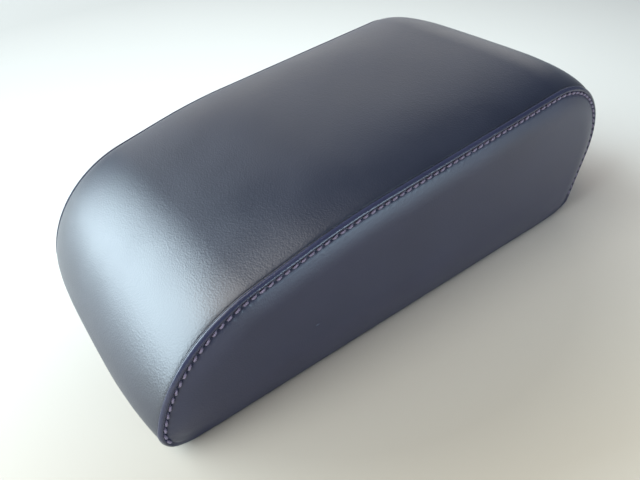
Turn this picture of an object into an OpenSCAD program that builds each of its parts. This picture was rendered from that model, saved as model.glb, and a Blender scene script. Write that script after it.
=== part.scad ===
// Car centre armrest: leather over moulded foam on a hollow base shell, with a rear hinge and a front latch.
// X runs across the car, the nose points to -Y, Z is up and the rim rests on z = 0.

/* [Side outline] */
// Front lower corner before rounding, ahead of the base line's zero
base_front = 160.9; // [150:0.1:175]
// Rear lower corner before rounding, behind the base line's zero
base_rear = 151.4; // [140:0.1:165]
// Lean of the lower nose from upright
nose_lean = 16.9; // [12:0.1:24]
// Height of the nose corner before rounding
nose_h = 66.1; // [56:0.1:70]
// Slope of the top just behind the nose
nose_slope = 13.3; // [11:0.1:18]
// Distance ahead of the base line's zero where the top flattens
bend_front = 45.7; // [30:0.1:60]
// Slope of the long flat of the top
top_slope = 5.7; // [4:0.1:9]
// Lean of the rear face from upright
rear_lean = 10.7; // [6:0.1:14]
// Rounding of the front lower corner
front_low_r = 16.5; // [14:0.5:17]
// Rounding of the nose
nose_r = 79; // [60:1:79]
// Rounding where the top flattens
bend_r = 350; // [200:10:450]
// Rounding of the rear top corner
rear_top_r = 50; // [36:1:52]
// Rounding of the rear lower corner
rear_low_r = 15; // [12:0.5:18]

/* [Leather] */
// Half of the width at the side seams
seam_half = 80; // [72:1:90]
// Thickness of the leather with its backing
leather_t = 1.6; // [1.2:0.1:2]
// Rise of the top panel's middle over its seams
crown_h = 7.8; // [4:0.1:10]
// Height over which the crown builds up from the lower edge
crown_build = 34; // [24:1:44]
// How far the side panels swell past the seams
side_bulge = 3.5; // [2:0.5:5]
// Depth below the seam over which the side rolls over
side_roll = 15; // [13:0.5:18]
// Height of the padded strip between seam and stitch row
welt_h = 0.9; // [0.4:0.1:1.5]
// Distance of the stitch row below the seam
stitch_drop = 4; // [3:0.1:7]
// Distance from one stitch to the next
stitch_pitch = 4.6; // [4:0.1:6]
// Radius of the thread
thread_r = 0.55; // [0.4:0.05:0.8]
// Width of the leather turned under the rim
flap_w = 13; // [10:1:16]
// Rise of the front lower edge over the finger recess
finger_lift = 10; // [8:0.5:11]
// Half width of the finger recess at its full rise
finger_half = 20; // [16:1:24]
// Half width over which the finger recess runs out
finger_run = 38; // [34:1:44]

/* [Padding and shell] */
// Thickness of the foam under the top panel
foam_t = 18; // [14:1:22]
// Wall of the base shell
shell_t = 3; // [2.5:0.1:4]
// Thickness of the foam beside the shell, at its foot
side_foam_t = 6.1; // [4:0.1:10]
// Width of the shell's rim that the leather is stapled to
rim_w = 6; // [5:0.5:8]
// Height of the shell's rim
rim_h = 8; // [7:0.5:10]
// Width of the ledge that carries the liner
ledge_w = 10; // [9:0.5:12]
// Clearance between pieces that are laid together
lay_gap = 0.3; // [0.2:0.05:0.5]

/* [Underside liner] */
// Height of the liner's flange above the rest plane
flange_z = 2; // [1.5:0.1:3]
// Thickness of the liner
liner_t = 2.5; // [2:0.1:3]
// Height of the recess under the liner's roof
recess_h = 20; // [18:0.5:24]
// Radius of a liner screw
liner_screw_r = 2; // [1.5:0.1:2.5]
// Radius of a rubber bumper
bumper_r = 5; // [4:0.5:5.5]

/* [Hinge] */
// Radius of the hinge shaft
shaft_r = 3; // [2.5:0.1:4]
// Height of the hinge axis
hinge_z = 9.5; // [9:0.5:11]
// Distance of the hinge axis from the recess's rear wall
hinge_back = 14; // [12:1:18]
// Wall of the steel brackets
steel_t = 2.5; // [2:0.1:3]
// Space between a lid bracket's ear and its screw heads
ear_clear = 2.2; // [1:0.1:4]
// Side play between the console bracket and the bushes
end_play = 0.3; // [0.2:0.05:0.5]
// Length of the console bracket's plate
plate_l = 58; // [45:1:70]
// Distance between the console bracket's screw holes across the car
bolt_span_x = 50; // [40:1:56]
// Distance between the console bracket's screw holes along the car
bolt_span_y = 30; // [24:1:36]
// Radius of the console bracket's screw holes
bolt_r = 2.75; // [2.25:0.05:3.25]
// Wall of the hinge bushes
bush_t = 1.5; // [1:0.1:2]
// Running clearance of shafts and pins
run_gap = 0.05; // [0.03:0.01:0.08]

/* [Latch] */
// Height of the latch axis
latch_z = 8.5; // [8:0.5:10]
// Distance of the latch axis from the recess's front wall
latch_back = 9; // [8:0.5:12]
// Radius of the latch pin
latch_pin_r = 2; // [1.5:0.1:2.5]
// Half width of the latch paddle
paddle_half = 24; // [20:1:26]
// Reach of the paddle ahead of the latch axis
paddle_l = 35; // [30:1:38]
// Thickness of the paddle
paddle_t = 2.5; // [2:0.1:3]
// Half width of the hook
hook_half = 6; // [4:0.5:8]

/* [Hidden] */
left = -1;
right = 1;

// Corners of the side outline before rounding, as [y, z], from the front lower one over the top
nose_y = -base_front + nose_h * tan(nose_lean);
bend_z = nose_h + (-bend_front - nose_y) * tan(nose_slope);
top_run = (base_rear + bend_front + bend_z * tan(rear_lean)) / (1 - tan(top_slope) * tan(rear_lean));
outline_corners = [[-base_front, 0], [nose_y, nose_h], [-bend_front, bend_z],
    [-bend_front + top_run, bend_z + top_run * tan(top_slope)], [base_rear, 0]];
outline_radii = [front_low_r, nose_r, bend_r, rear_top_r, rear_low_r];
arc_steps = [8, 10, 4, 12, 6];
least_round = 0.6;

// Plane geometry: crossing of two lines, and a line moved inwards
function turn_left(v) = [-v[1], v[0]];
function unit(v) = v / norm(v);
function inward(a, b) = -turn_left(unit(b - a));
function crossing(p, u, q, v) = p + u * cross(q - p, v) / cross(u, v);
function side_line(i, inset, floor_z) = let(
    a = outline_corners[i],
    b = outline_corners[(i + 1) % 5],
    depth = i == 4 ? floor_z : inset) [a + inward(a, b) * depth, unit(b - a)];
function inset_corner(i, inset, floor_z) = let(
    before = side_line((i + 4) % 5, inset, floor_z),
    after = side_line(i, inset, floor_z)) crossing(before[0], before[1], after[0], after[1]);
function outline_dir(i) = unit(outline_corners[(i + 1) % 5] - outline_corners[i]);

// Rounded corner i as a list of [point, outward normal]
function corner_arc(i, inset, floor_z) = let(
    from_dir = outline_dir((i + 4) % 5),
    to_dir = outline_dir(i),
    radius = max(outline_radii[i] - inset, least_round),
    first = atan2(turn_left(from_dir)[1], turn_left(from_dir)[0]),
    sweep = acos(from_dir * to_dir),
    middle = first - sweep / 2,
    centre = inset_corner(i, inset, floor_z) - [cos(middle), sin(middle)] * radius / cos(sweep / 2))
    [for (k = [0:arc_steps[i]]) let(a = first - sweep * k / arc_steps[i])
        [centre + [cos(a), sin(a)] * radius, [cos(a), sin(a)]]];
function ring_points(inset, floor_z) = [for (i = [0:4]) for (c = corner_arc(i, inset, floor_z)) c[0]];

// The same outline with sharp corners where the inset takes their whole rounding
function plain_points(inset, floor_z) = [for (i = [0:4]) each outline_radii[i] - inset < 1
    ? [inset_corner(i, inset, floor_z)] : [for (c = corner_arc(i, inset, floor_z)) c[0]]];

// Corners from front to rear with two places on the straight front and rear, as a path over the top
front_side = 0;
rear_side = 3;
function on_side(i, inset, floor_z) = let(
    start = corner_arc(i, inset, floor_z)[arc_steps[i]],
    end = corner_arc(i + 1, inset, floor_z)[0])
    [for (k = [1, 2]) [start[0] + (end[0] - start[0]) * k / 3, start[1]]];
function over_path(inset, floor_z) = [for (i = [0:4]) each concat(
    corner_arc(i, inset, floor_z), i == front_side || i == rear_side ? on_side(i, inset, floor_z) : [])];

// Path of the top panel, from the front flap over the top to the rear flap
path_front = corner_arc(0, 0, 0)[0][0][0] + flap_w;
path_rear = corner_arc(4, 0, 0)[arc_steps[4]][0][0] - flap_w;
function panel_path(inset) = concat(
    [[[path_front, inset], [0, -1]]], over_path(inset, inset), [[[path_rear, inset], [0, -1]]]);

// Swell of the top panel and rise of its front edge
top_half = seam_half - leather_t;
function crown(x) = crown_h * pow(1 - pow(min(abs(x) / top_half, 1), 4), 0.65);
function crown_share(z) = sin(90 * min(max(z, 0) / crown_build, 1));
function smooth(t) = let(s = min(max(t, 0), 1)) s * s * (3 - 2 * s);
function finger_rise(x, z) = finger_lift * (1 - smooth((abs(x) - finger_half) / (finger_run - finger_half)))
    * max(0, 1 - z / (3 * finger_lift));
function panel_point(x, place, swell) = let(
    p = place[0] + place[1] * swell * crown_share(place[0][1]),
    rise = p[0] < 0 ? finger_rise(x, p[1]) : 0) [x, p[0], p[1] + rise];

// Centre of the whole length, which becomes y = 0
reach = [for (c = panel_path(0)) (c[0] + c[1] * crown_h * crown_share(c[0][1]))[0]];
mid_y = (min(reach) + max(reach)) / 2;

// Base shell: its foot rests on the flaps, and the liner rests against its ledge
shell_half = seam_half - leather_t - lay_gap - side_foam_t;
pad_inset = leather_t + lay_gap;
shell_inset = pad_inset + foam_t + lay_gap;
shell_z = pad_inset + lay_gap;
ledge_z = flange_z + liner_t;
roll_clear = 1.3;
shell_front = inset_corner(0, shell_inset, shell_z)[0];
shell_rear = inset_corner(4, shell_inset, shell_z)[0];
liner_half = shell_half - rim_w - lay_gap;
liner_front = shell_front + rim_w + lay_gap;
liner_rear = shell_rear - rim_w - lay_gap;
recess_half = shell_half - rim_w - ledge_w;
recess_front = shell_front + rim_w + ledge_w;
recess_rear = shell_rear - rim_w - ledge_w;
roof_z = recess_h + liner_t;
channel_clear = 4;
channel_half = max(finger_run, paddle_half) + channel_clear;
channel_z = finger_lift + leather_t + lay_gap;

// Liner fasteners along the flange
flange_mid = (liner_half + recess_half) / 2;
screw_end = 12;
bumper_end = 30;
screw_ys = [recess_front + screw_end, 0, recess_rear - screw_end];
bumper_ys = [recess_front + bumper_end, recess_rear - bumper_end];
screw_head_r = 1.8 * liner_screw_r;
screw_head_h = 1.4;
boss_r = 4.5;
boss_h = 16;
hole_play = 0.3;

// Hinge: the feet fill the recess's width, and the ears stand inside their screws
hinge_y = recess_rear - hinge_back;
foot_half = recess_half - liner_t - lay_gap;
foot_l = 2 * (hinge_back - liner_t - lay_gap);
foot_x = foot_half - screw_head_r - lay_gap;
foot_screw_y = foot_l / 2 - screw_head_r - lay_gap;
lid_ear_half = foot_x - screw_head_r - ear_clear - steel_t;
ear_wall = 3;
knuckle_wall = 3.5;
bush_flange_w = 1.5;
bush_flange_t = 1;
bush_r = shaft_r + run_gap + bush_t;
bush_flange_r = bush_r + bush_flange_w;
lid_ear_r = bush_r + ear_wall;
console_ear_half = lid_ear_half - bush_flange_t - end_play;
knuckle_r = shaft_r + knuckle_wall;
plate_z = hinge_z - knuckle_r;
bolt_set = 6;
bolt_mid_y = hinge_y - plate_l / 2 - bolt_set;
groove_t = 1;
groove_depth = 0.7;
groove_r = shaft_r - groove_depth;
clip_t = 0.8;
clip_lip = 2;
clip_space = 1.2;
clip_x = lid_ear_half + steel_t + clip_space;
shaft_tip = 1.5;
shaft_end = clip_x + groove_t + shaft_tip;
spring_wire_r = 0.9;
spring_space = 0.8;
spring_coil_r = shaft_r + spring_space + spring_wire_r;
spring_half = 14;
spring_turns = 9;
spring_leg_rise = 20;
spring_leg_out = 12;
spring_notch = 3;

// Latch
latch_y = recess_front + latch_back;
hub_wall = 3;
hub_r = latch_pin_r + hub_wall;
hook_tip = 3;
barrel_w = 6;
cheek_space = 4;
cheek_half = paddle_half + cheek_space;
cheek_t = 3;
cheek_wall = 1;
paddle_z = 1.8;
lip_l = 2;
lip_h = 1;
latch_base_t = 2.5;
latch_edge = 2.4;
latch_screw_x = cheek_half + cheek_t + screw_head_r + cheek_wall;
latch_base_half = latch_screw_x + screw_head_r + latch_edge;
lever_wire_r = 0.5;
lever_spring_space = 0.8;
lever_spring_r = latch_pin_r + lever_spring_space + lever_wire_r;
lever_turns = 6;
lever_leg = 8;
lever_side_gap = 1.5;

module shift_mid() {
    translate([0, -mid_y, 0]) children();
}

// Closed solid through equal rings of points; its ends are one flat face each, or a strip of triangles.
// The second half of a ring is split the other way, so that both faces of a sheet fold alike.
function flat_end(n) = [[for (j = [n - 1:-1:0]) j]];
function strip_end(n) = [for (j = [0:n / 2 - 2]) each
    [[j, n - 1 - j, n - 2 - j], [j, n - 2 - j, j + 1]]];
function turned(faces, start) = [for (f = faces) [for (k = [len(f) - 1:-1:0]) f[k] + start]];
module skin(rings, strip = false) {
    n = len(rings[0]);
    last = len(rings) - 1;
    points = [for (ring = rings) for (p = ring) p];
    sides = [for (i = [0:last - 1]) for (j = [0:n - 1]) let(
        a = i * n + j,
        b = i * n + (j + 1) % n) each 2 * j < n - 1
            ? [[a, b, b + n], [a, b + n, a + n]] : [[a, b, a + n], [b, b + n, a + n]]];
    end = strip ? strip_end(n) : flat_end(n);
    polyhedron(points = points, faces = concat(end, sides, turned(end, last * n)), convexity = 6);
}

// Prism of a side-view outline between two values of x
module side_prism(points, x_from, x_to) {
    translate([x_from, 0, 0])
        rotate([90, 0, 90])
            linear_extrude(x_to - x_from) polygon(points);
}

// Round bar along X between two values of x
module bar_x(x_from, x_to, r, y, z) {
    translate([x_from, y, z])
        rotate([0, 90, 0]) cylinder(h = x_to - x_from, r = r, $fn = 48);
}

module box(x0, x1, y0, y1, z0, z1) {
    translate([x0, y0, z0]) cube([x1 - x0, y1 - y0, z1 - z0]);
}

// Panel that follows the outline over the top: xs across, and an outer and an inner path of equal length
rows_across = [for (a = [-90:9:90]) top_half * sin(a)];
module over_panel(xs, outer, inner, inner_swell) {
    skin([for (i = [len(outer) - 1:-1:0]) concat(
        [for (x = xs) panel_point(x, outer[i], crown(x))],
        [for (k = [len(xs) - 1:-1:0]) panel_point(xs[k], inner[i], inner_swell * crown(xs[k]))])], true);
}

module top_cover() {
    color("#2b3040") shift_mid() over_panel(rows_across, panel_path(0), panel_path(leather_t), 1);
}

// Side panel profile below the seam: [depth, swell]
function roll_out(d) = side_bulge * sin(90 * min(d / side_roll, 1));
side_profile = [[0, 0], [0.15 * stitch_drop, 0.75 * welt_h], [0.5 * stitch_drop, welt_h],
    [0.85 * stitch_drop, 0.6 * welt_h], [stitch_drop, 0], [1.2 * stitch_drop, 0.35 * welt_h],
    [0.6 * side_roll, 0.2 * welt_h], [0.8 * side_roll, 0], [side_roll, 0]];
function profile_ring(side, row, back) = let(d = row[0], x = seam_half + roll_out(d) + row[1] - back)
    [for (p = ring_points(d, d)) [side * x, p[0], p[1]]];

module side_cover(side) {
    rows = len(side_profile);
    inner = [for (k = [rows - 1:-1:0]) profile_ring(side, side_profile[k], leather_t)];
    outer = [for (k = [0:rows - 1]) profile_ring(side, side_profile[k], 0)];
    rings = concat(inner, outer);
    skin(side > 0 ? rings : [for (k = [len(rings) - 1:-1:0]) rings[k]]);
    flap_edge = seam_half - leather_t / 2;
    flap_x = side > 0 ? [shell_half - rim_w, flap_edge] : [-flap_edge, -shell_half + rim_w];
    box(flap_x[0], flap_x[1], path_front + lay_gap, path_rear - lay_gap, 0, leather_t);
}

module side_cover_left() {
    color("#3a3d4b") shift_mid() side_cover(left);
}

module side_cover_right() {
    color("#3a3d4b") shift_mid() side_cover(right);
}

// Stitch row: short slanted thread runs along the outline at the stitch depth
stitch_path = [for (i = [0:4]) for (c = corner_arc(i, stitch_drop, stitch_drop)) c[0]];
function path_sums(path, i = 1, sums = [0]) = i == len(path) ? sums
    : path_sums(path, i + 1, concat(sums, [sums[i - 1] + norm(path[i] - path[i - 1])]));
stitch_sums = path_sums(stitch_path);
stitch_margin = 8;
stitch_count = floor((stitch_sums[len(stitch_sums) - 1] - 2 * stitch_margin) / stitch_pitch);
stitch_l = 0.8 * stitch_pitch;
stitch_slant = 14;

module stitching(side) {
    x = seam_half + roll_out(stitch_drop) + thread_r / 3;
    for (k = [0:stitch_count]) {
        s = stitch_margin + k * stitch_pitch;
        i = max([for (m = [0:len(stitch_sums) - 2]) if (stitch_sums[m] <= s) m]);
        span = stitch_path[i + 1] - stitch_path[i];
        p = stitch_path[i] + unit(span) * (s - stitch_sums[i]);
        translate([side * x, p[0], p[1]])
            rotate([atan2(span[1], span[0]) - stitch_slant, 0, 0])
                rotate([-90, 0, 0])
                    cylinder(h = stitch_l, r = thread_r, center = true, $fn = 16);
    }
}

module stitching_left() {
    color("#7a6880") shift_mid() stitching(left);
}

module stitching_right() {
    color("#7a6880") shift_mid() stitching(right);
}

// Foam over the shell, from the lower front edge to the lower rear edge
module foam_pad() {
    skipped = 2;
    function foam_path(inset) = let(
        places = over_path(inset, pad_inset)) [for (k = [skipped:len(places) - 1 - skipped]) places[k]];
    half = top_half - roll_clear;
    rows = concat([-half], [for (x = rows_across) if (abs(x) < half - roll_clear) x], [half]);
    color("#d9cf9f") shift_mid() over_panel(rows, foam_path(pad_inset), foam_path(pad_inset + foam_t), 0);
}

// Flat foam on the side of the shell, cut back where the side panel rolls in at its foot
module side_pad(side) {
    low_x = seam_half - leather_t - lay_gap;
    skin_x = low_x + side_bulge;
    spare = 1;
    difference() {
        side_prism(plain_points(shell_inset + lay_gap, shell_z),
            side > 0 ? shell_half : -skin_x, side > 0 ? skin_x : -shell_half);
        box(side > 0 ? low_x : -skin_x - spare, side > 0 ? skin_x + spare : -low_x,
            -base_front, base_rear, 0, side_roll + lay_gap);
    }
}

module side_pad_left() {
    color("#cfc594") shift_mid() side_pad(left);
}

module side_pad_right() {
    color("#cfc594") shift_mid() side_pad(right);
}

module base_shell() {
    over = 100;
    color("#26282b") shift_mid() {
        difference() {
            side_prism(plain_points(shell_inset, shell_z), -shell_half, shell_half);
            difference() {
                side_prism(plain_points(shell_inset + shell_t, -over),
                    -shell_half + shell_t, shell_half - shell_t);
                difference() {
                    box(-shell_half, shell_half, shell_front - over, shell_rear + over, 0, rim_h);
                    box(-recess_half, recess_half, recess_front, recess_rear, -1, rim_h + 1);
                    box(-liner_half - lay_gap, liner_half + lay_gap, liner_front - lay_gap,
                        liner_rear + lay_gap, -1, ledge_z);
                }
                for (side = [left, right]) {
                    for (y = screw_ys) {
                        translate([side * flange_mid, y, ledge_z])
                            cylinder(h = boss_h, r = boss_r, $fn = 32);
                    }
                }
                for (side = [left, right]) {
                    for (along = [left, right]) {
                        translate([side * foot_x, hinge_y + along * foot_screw_y, roof_z])
                            cylinder(h = over, r = boss_r, $fn = 32);
                    }
                    translate([side * latch_screw_x, latch_y, roof_z])
                        cylinder(h = over, r = boss_r, $fn = 32);
                }
            }
            box(-channel_half, channel_half, shell_front - over, recess_front + 1, 0, channel_z);
            for (side = [left, right]) {
                for (y = screw_ys) {
                    translate([side * flange_mid, y, 0])
                        cylinder(h = ledge_z + boss_h - shell_z, r = liner_screw_r, $fn = 32);
                }
            }
        }
    }
}

// Wire staples through the turned leather into the shell's rim
staple_pitch = 22;
staple_w = 10;
staple_wire = 0.7;
staple_leg = 6;
staple_z = 0.3;
module staple(across) {
    rotate([0, 0, across ? 90 : 0]) {
        box(-staple_w / 2, staple_w / 2, -staple_wire / 2, staple_wire / 2,
            staple_z, staple_z + staple_wire);
        for (end = [left, right]) {
            foot = end * (staple_w - staple_wire) / 2;
            box(foot - staple_wire / 2, foot + staple_wire / 2, -staple_wire / 2, staple_wire / 2,
                staple_z, staple_z + staple_leg);
        }
    }
}

module cover_staples() {
    line_x = shell_half - rim_w / 2;
    first_y = path_front + staple_w;
    last_y = path_rear - staple_w;
    side_count = floor((last_y - first_y) / staple_pitch);
    end_span = shell_half - rim_w - channel_half;
    color("#b8bcc2") shift_mid() {
        for (side = [left, right]) {
            for (k = [0:side_count]) {
                translate([side * line_x, first_y + k * (last_y - first_y) / side_count, 0]) staple(true);
            }
            translate([side * (channel_half + end_span / 2), shell_front + rim_w / 2, 0]) staple(false);
        }
        for (k = [-2:2]) {
            translate([k * staple_pitch, shell_rear - rim_w / 2, 0]) staple(false);
        }
    }
}

// Underside liner: a flange in the rim, a deep recess for the hinge and the latch, and ribs on its roof
rib_t = 2;
rib_h = 2.4;
rib_pitch = 20;
rib_lead = 36;
rib_end = 12;
module underside_liner() {
    wall = liner_t;
    hole_r = liner_screw_r + hole_play;
    color("#1d1e20") shift_mid() {
        difference() {
            union() {
                box(-liner_half, liner_half, liner_front, liner_rear, flange_z, ledge_z);
                box(-recess_half + lay_gap, recess_half - lay_gap,
                    recess_front + lay_gap, recess_rear - lay_gap, flange_z, roof_z);
            }
            difference() {
                box(-recess_half + wall, recess_half - wall, recess_front + wall, recess_rear - wall,
                    -1, recess_h);
                for (k = [-1.5:1:1.5]) {
                    box(k * rib_pitch - rib_t / 2, k * rib_pitch + rib_t / 2, latch_y + rib_lead,
                        hinge_y - plate_l - rib_end, recess_h - rib_h, recess_h);
                }
            }
            box(-channel_half, channel_half, liner_front - 1, recess_front + 2 * wall, -1, channel_z);
            for (side = [left, right]) {
                for (y = screw_ys) {
                    translate([side * flange_mid, y, 0]) cylinder(h = ledge_z + 1, r = hole_r, $fn = 32);
                }
                for (y = bumper_ys) {
                    translate([side * flange_mid, y, 0])
                        cylinder(h = ledge_z + 1, r = bumper_r / 2, $fn = 32);
                }
                for (y = [hinge_y - foot_screw_y, hinge_y + foot_screw_y]) {
                    translate([side * foot_x, y, 0]) cylinder(h = roof_z + 1, r = hole_r, $fn = 32);
                }
                translate([side * latch_screw_x, latch_y, 0]) cylinder(h = roof_z + 1, r = hole_r, $fn = 32);
            }
        }
    }
}

// Pan-head screw that points up, its head's upper face at z
module pan_screw(z, length) {
    translate([0, 0, z - screw_head_h]) cylinder(h = screw_head_h, r = screw_head_r, $fn = 32);
    translate([0, 0, z - 0.1]) cylinder(h = length + 0.1, r = liner_screw_r, $fn = 32);
}

module liner_screws() {
    color("#8e9298") shift_mid() {
        for (side = [left, right]) {
            for (y = screw_ys) {
                translate([side * flange_mid, y, 0]) pan_screw(flange_z, liner_t + boss_h - 4);
            }
        }
    }
}

module rubber_bumpers() {
    color("#141414") shift_mid() {
        for (side = [left, right]) {
            for (y = bumper_ys) {
                translate([side * flange_mid, y, 0]) {
                    cylinder(h = flange_z, r = bumper_r, $fn = 32);
                    cylinder(h = ledge_z, r = bumper_r / 2, $fn = 32);
                }
            }
        }
    }
}

// Lid bracket: a foot under the liner's roof and an ear that carries a bush
module hinge_bracket(side) {
    ear_in = lid_ear_half;
    ear_out = lid_ear_half + steel_t;
    difference() {
        union() {
            box(side > 0 ? ear_in : -foot_half, side > 0 ? foot_half : -ear_in,
                hinge_y - foot_l / 2, hinge_y + foot_l / 2, recess_h - steel_t, recess_h);
            box(side > 0 ? ear_in : -ear_out, side > 0 ? ear_out : -ear_in,
                hinge_y - lid_ear_r, hinge_y + lid_ear_r, hinge_z, recess_h - steel_t / 2);
            bar_x(side > 0 ? ear_in : -ear_out, side > 0 ? ear_out : -ear_in, lid_ear_r, hinge_y, hinge_z);
        }
        bar_x(side > 0 ? ear_in - 1 : -ear_out - 1, side > 0 ? ear_out + 1 : -ear_in + 1,
            bush_r, hinge_y, hinge_z);
        for (y = [hinge_y - foot_screw_y, hinge_y + foot_screw_y]) {
            translate([side * foot_x, y, 0])
                cylinder(h = recess_h + 1, r = liner_screw_r + hole_play, $fn = 32);
        }
    }
}

module hinge_bracket_left() {
    color("#9aa0a6") shift_mid() hinge_bracket(left);
}

module hinge_bracket_right() {
    color("#9aa0a6") shift_mid() hinge_bracket(right);
}

// Flanged bush, its flange on the inner side of the ear
module hinge_bush(side) {
    ear_out = lid_ear_half + steel_t;
    flange_in = lid_ear_half - bush_flange_t;
    difference() {
        union() {
            bar_x(side > 0 ? flange_in : -ear_out, side > 0 ? ear_out : -flange_in,
                bush_r, hinge_y, hinge_z);
            bar_x(side > 0 ? flange_in : -lid_ear_half, side > 0 ? lid_ear_half : -flange_in,
                bush_flange_r, hinge_y, hinge_z);
        }
        bar_x(-shaft_end, shaft_end, shaft_r + run_gap, hinge_y, hinge_z);
    }
}

module hinge_bush_left() {
    color("#e6e2d6") shift_mid() hinge_bush(left);
}

module hinge_bush_right() {
    color("#e6e2d6") shift_mid() hinge_bush(right);
}

module hinge_shaft() {
    color("#c4c8cc") shift_mid() {
        difference() {
            bar_x(-shaft_end, shaft_end, shaft_r, hinge_y, hinge_z);
            for (side = [left, right]) {
                difference() {
                    bar_x(side * clip_x - groove_t / 2, side * clip_x + groove_t / 2,
                        shaft_r + 1, hinge_y, hinge_z);
                    bar_x(-shaft_end, shaft_end, groove_r, hinge_y, hinge_z);
                }
            }
        }
    }
}

// Plate that is screwed to the console, with two ears pressed on the shaft
module console_bracket() {
    plate_half = console_ear_half;
    plate_front = hinge_y - plate_l;
    color("#7f858b") shift_mid() {
        difference() {
            union() {
                box(-plate_half, plate_half, plate_front, hinge_y, plate_z, plate_z + steel_t);
                for (side = [left, right]) {
                    ear = side > 0 ? plate_half - steel_t : -plate_half;
                    bar_x(ear, ear + steel_t, knuckle_r, hinge_y, hinge_z);
                    box(ear, ear + steel_t, hinge_y - 2 * knuckle_r, hinge_y, plate_z, hinge_z);
                }
            }
            bar_x(-shaft_end, shaft_end, shaft_r, hinge_y, hinge_z);
            for (side = [left, right]) {
                for (along = [left, right]) {
                    translate([side * bolt_span_x / 2, bolt_mid_y + along * bolt_span_y / 2, 0])
                        cylinder(h = hinge_z, r = bolt_r, $fn = 32);
                }
            }
            box(-spring_half - spring_notch, spring_half + spring_notch,
                hinge_y - spring_coil_r - spring_notch, hinge_y + 1, 0, hinge_z);
        }
    }
}

// Open rings snapped into the shaft's grooves
module shaft_clips() {
    color("#3b3d40") shift_mid() {
        for (side = [left, right]) {
            difference() {
                bar_x(side * clip_x - clip_t / 2, side * clip_x + clip_t / 2,
                    shaft_r + clip_lip, hinge_y, hinge_z);
                bar_x(-shaft_end - 1, shaft_end + 1, groove_r, hinge_y, hinge_z);
                box(-shaft_end - 1, shaft_end + 1, hinge_y - groove_r, hinge_y + groove_r,
                    hinge_z, hinge_z + shaft_r + clip_lip + 1);
            }
        }
    }
}

// Coil of wire around an axis along X: its first leg stands up behind the axis, and its last runs forward
// below it, lifted by the rise angle
wire_sides = 6;
turn_steps = 14;
function wire_ring(x, centre, turn, wire_r) = [for (k = [0:wire_sides - 1]) let(b = 360 * k / wire_sides)
    [x - wire_r * sin(b), centre[0] + wire_r * cos(b) * cos(turn), centre[1] + wire_r * cos(b) * sin(turn)]];
module coil(x_from, x_to, full_turns, coil_r, wire_r, leg_up, leg_out, rise) {
    sweep = 360 * full_turns + 90 + rise;
    steps = ceil(sweep / 360 * turn_steps);
    function on_coil(t) = coil_r * [cos(t), sin(t)];
    function along(t) = [sin(t), -cos(t)];
    skin(concat(
        [wire_ring(x_from, on_coil(0) - along(0) * leg_up, 0, wire_r)],
        [for (k = [0:steps]) let(t = -sweep * k / steps)
            wire_ring(x_from + (x_to - x_from) * k / steps, on_coil(t), t, wire_r)],
        [wire_ring(x_to, on_coil(-sweep) + along(-sweep) * leg_out, -sweep, wire_r)]));
}

// Spring that helps the lid up, its first leg under the liner's roof and its last on the console bracket
module hinge_spring() {
    color("#b9bdc1") shift_mid() translate([0, hinge_y, hinge_z])
        coil(-spring_half, spring_half, spring_turns, spring_coil_r, spring_wire_r,
            recess_h - hinge_z - lay_gap, spring_leg_out, spring_leg_rise);
}

module hinge_screws() {
    color("#8e9298") shift_mid() {
        for (side = [left, right]) {
            for (y = [hinge_y - foot_screw_y, hinge_y + foot_screw_y]) {
                translate([side * foot_x, y, 0])
                    pan_screw(recess_h - steel_t, steel_t + liner_t + boss_h / 2);
            }
        }
    }
}

// Latch housing: a base under the liner's roof and two cheeks that hold the pin
module latch_housing() {
    base_z = recess_h - latch_base_t;
    depth = hub_r + cheek_wall;
    color("#303236") shift_mid() {
        difference() {
            union() {
                box(-latch_base_half, latch_base_half, latch_y - depth, latch_y + depth, base_z, recess_h);
                for (side = [left, right]) {
                    cheek = side > 0 ? cheek_half : -cheek_half - cheek_t;
                    box(cheek, cheek + cheek_t, latch_y - depth, latch_y + depth, latch_z, recess_h);
                    bar_x(cheek, cheek + cheek_t, depth, latch_y, latch_z);
                }
            }
            bar_x(-latch_base_half, latch_base_half, latch_pin_r, latch_y, latch_z);
            for (side = [left, right]) {
                translate([side * latch_screw_x, latch_y, 0])
                    cylinder(h = recess_h + 1, r = liner_screw_r + hole_play, $fn = 32);
            }
        }
    }
}

// Lever: a finger paddle and a hook on one hub
module latch_lever() {
    color("#232427") shift_mid() {
        difference() {
            union() {
                box(-paddle_half, paddle_half, latch_y - paddle_l, latch_y, paddle_z, paddle_z + paddle_t);
                box(-paddle_half, paddle_half, latch_y - paddle_l, latch_y - paddle_l + lip_l,
                    paddle_z, paddle_z + paddle_t + lip_h);
                for (x = [-paddle_half, -hook_half, paddle_half - barrel_w]) {
                    w = x == -hook_half ? 2 * hook_half : barrel_w;
                    bar_x(x, x + w, hub_r, latch_y, latch_z);
                    box(x, x + w, latch_y - hub_r, latch_y, paddle_z, latch_z);
                }
                box(-hook_half, hook_half, latch_y, latch_y + hub_r + hook_tip,
                    paddle_z, paddle_z + paddle_t);
                box(-hook_half, hook_half, latch_y, latch_y + hub_r, paddle_z, latch_z);
            }
            bar_x(-cheek_half, cheek_half, latch_pin_r + run_gap, latch_y, latch_z);
        }
    }
}

module latch_pin() {
    color("#c4c8cc") shift_mid()
        bar_x(-cheek_half - cheek_t, cheek_half + cheek_t, latch_pin_r, latch_y, latch_z);
}

// Return spring of the lever, beside the hook
module latch_spring() {
    color("#b9bdc1") shift_mid() translate([0, latch_y, latch_z])
        coil(hook_half + lever_side_gap, paddle_half - barrel_w - lever_side_gap,
            lever_turns, lever_spring_r,
            lever_wire_r, recess_h - latch_base_t - latch_z - lay_gap, lever_leg, 0);
}

module latch_screws() {
    color("#8e9298") shift_mid() {
        for (side = [left, right]) {
            translate([side * latch_screw_x, latch_y, 0])
                pan_screw(recess_h - latch_base_t, latch_base_t + liner_t + boss_h / 2);
        }
    }
}

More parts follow.
